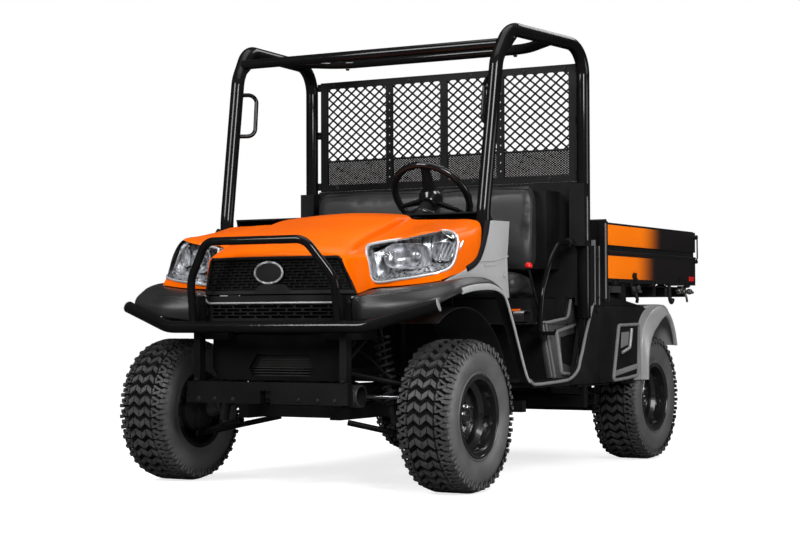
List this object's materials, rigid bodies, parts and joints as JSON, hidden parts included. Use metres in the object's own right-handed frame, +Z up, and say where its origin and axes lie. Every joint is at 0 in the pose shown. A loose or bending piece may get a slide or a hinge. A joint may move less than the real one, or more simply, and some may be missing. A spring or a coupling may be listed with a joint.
{
  "type": "side-by-side utility vehicle",
  "caption": "Side-by-side utility vehicle: open cab under a roll bar, split bench, steered front wheels, opening hood, and a tipping cargo bed with drop sides and tailgate.",
  "frame": {"origin": "on the ground under the middle of the vehicle's overall box", "axes": "-Y forward, +X to the vehicle's left, +Z up"},
  "size_m": [1.6, 3.042, 1.986],
  "materials": {
    "orange_paint": "gloss",
    "black_paint": "satin",
    "black_plastic": "grained",
    "gloss_black": "gloss",
    "grey_plastic": "satin",
    "seat_vinyl": "grained vinyl",
    "tyre_rubber": "matte",
    "cast_steel": "rough",
    "bright_steel": "brushed",
    "lamp": "clear",
    "bed_paint": "gloss"
  },
  "bodies": {
    "root": {"chassis_frame": "black_paint", "front_subframe": "black_paint", "rear_subframe": "black_paint", "suspension_arms": "black_paint", "shock_absorbers": "black_paint", "driveline": "cast_steel", "half_shafts": "cast_steel", "rear_axle": "black_paint", "steering_rack": "cast_steel", "front_fascia": "black_plastic", "radiator": "cast_steel", "bumper_bar": "black_paint", "brush_guard": "black_paint", "front_fenders": "black_plastic", "side_cowls": "grey_plastic", "dashboard": "black_plastic", "steering_column": "black_plastic", "floor_pan": "black_plastic", "seat_base": "black_plastic", "seat_cushions": "seat_vinyl", "seat_backs": "seat_vinyl", "bulkhead": "black_plastic", "hip_guards": "black_paint", "controls": "bright_steel", "roof_hoops": "black_paint", "rear_screen_frame": "black_paint", "rear_screen_mesh": "black_paint", "rear_fenders": "black_plastic", "engine_block": "cast_steel", "muffler": "cast_steel", "roll_bar_left": "black_paint", "roll_bar_right": "black_paint"},
    "hood": {"hood": "orange_paint", "headlights": "lamp", "upper_grille": "black_plastic"},
    "steering_wheel": {"steering_wheel": "gloss_black"},
    "bed": {"bed_deck": "black_paint", "bed_front_wall": "black_paint"},
    "tailgate": {"tailgate": "bed_paint"},
    "lift_barrel": {"lift_barrel": "black_paint"},
    "lift_rod": {"lift_rod": "bright_steel"},
    "knuckle_left": {"knuckle_left": "cast_steel"},
    "tie_rod_left": {"tie_rod_left": "bright_steel"},
    "side_gate_left": {"side_gate_left": "bed_paint"},
    "wheel_front_left": {"tyre_front_left": "tyre_rubber", "rim_front_left": "black_paint"},
    "wheel_rear_left": {"tyre_rear_left": "tyre_rubber", "rim_rear_left": "black_paint"},
    "knuckle_right": {"knuckle_right": "cast_steel"},
    "tie_rod_right": {"tie_rod_right": "bright_steel"},
    "side_gate_right": {"side_gate_right": "bed_paint"},
    "wheel_front_right": {"tyre_front_right": "tyre_rubber", "rim_front_right": "black_paint"},
    "wheel_rear_right": {"tyre_rear_right": "tyre_rubber", "rim_rear_right": "black_paint"}
  },
  "joints": [
    {"name": "steer_left", "type": "hinge", "parent": "root", "child": "knuckle_left", "pos_m": [0.59, -1.062, 0.31], "axis": [0, 0, 1], "range_deg": [-30, 30]},
    {"name": "steer_right", "type": "hinge", "parent": "root", "child": "knuckle_right", "pos_m": [-0.59, -1.062, 0.31], "axis": [0, 0, 1], "range_deg": [-30, 30]},
    {"name": "steering_wheel_turn", "type": "hinge", "parent": "root", "child": "steering_wheel", "pos_m": [0.275, -0.517, 1.236], "axis": [0, 0.766, 0.6428], "range_deg": [-450, 450]},
    {"name": "hood_tilt", "type": "hinge", "parent": "root", "child": "hood", "pos_m": [0, -0.762, 1.132], "axis": [-1, 0, 0], "range_deg": [0, 50]},
    {"name": "bed_tilt", "type": "hinge", "parent": "root", "child": "bed", "pos_m": [0, 1.268, 0.8], "axis": [-1, 0, 0], "range_deg": [0, 45]},
    {"name": "tailgate_drop", "type": "hinge", "parent": "bed", "child": "tailgate", "pos_m": [0, 1.511, 0.871], "axis": [-1, 0, 0], "range_deg": [0, 90]},
    {"name": "lift_barrel_swing", "type": "hinge", "parent": "root", "child": "lift_barrel", "pos_m": [0.31, 0.558, 0.4], "axis": [1, 0, 0], "range_deg": [0, 9.1]},
    {"name": "lift_rod_slide", "type": "slide", "parent": "lift_barrel", "child": "lift_rod", "axis": [0, 0.6979, 0.7162], "range_m": [0, 0.2305]},
    {"name": "wheel_front_left_spin", "type": "hinge", "parent": "knuckle_left", "child": "wheel_front_left", "pos_m": [0.685, -1.062, 0.31], "axis": [1, 0, 0], "continuous": true},
    {"name": "wheel_rear_left_spin", "type": "hinge", "parent": "root", "child": "wheel_rear_left", "pos_m": [0.625, 0.983, 0.31], "axis": [1, 0, 0], "continuous": true},
    {"name": "tie_rod_left_swing", "type": "hinge", "parent": "knuckle_left", "child": "tie_rod_left", "pos_m": [0.566, -1.174, 0.362], "axis": [0, 0, 1], "range_deg": [-30, 30]},
    {"name": "side_gate_left_drop", "type": "hinge", "parent": "bed", "child": "side_gate_left", "pos_m": [0.747, 0.838, 0.871], "axis": [0, 1, 0], "range_deg": [0, 90]},
    {"name": "wheel_front_right_spin", "type": "hinge", "parent": "knuckle_right", "child": "wheel_front_right", "pos_m": [-0.685, -1.062, 0.31], "axis": [1, 0, 0], "continuous": true},
    {"name": "wheel_rear_right_spin", "type": "hinge", "parent": "root", "child": "wheel_rear_right", "pos_m": [-0.625, 0.983, 0.31], "axis": [1, 0, 0], "continuous": true},
    {"name": "tie_rod_right_swing", "type": "hinge", "parent": "knuckle_right", "child": "tie_rod_right", "pos_m": [-0.566, -1.174, 0.362], "axis": [0, 0, 1], "range_deg": [-30, 30]},
    {"name": "side_gate_right_drop", "type": "hinge", "parent": "bed", "child": "side_gate_right", "pos_m": [-0.747, 0.838, 0.871], "axis": [0, -1, 0], "range_deg": [0, 90]}
  ],
  "couplings": [
    {"joint": "steer_right", "follows": "steer_left", "ratio": 1},
    {"joint": "steering_wheel_turn", "follows": "steer_left", "ratio": 15},
    {"joint": "tie_rod_left_swing", "follows": "steer_left", "ratio": -1},
    {"joint": "tie_rod_right_swing", "follows": "steer_left", "ratio": -1},
    {"joint": "lift_barrel_swing", "follows": "bed_tilt", "ratio": 0.201},
    {"joint": "lift_rod_slide", "follows": "bed_tilt", "m_per_rad": 0.2929}
  ]
}
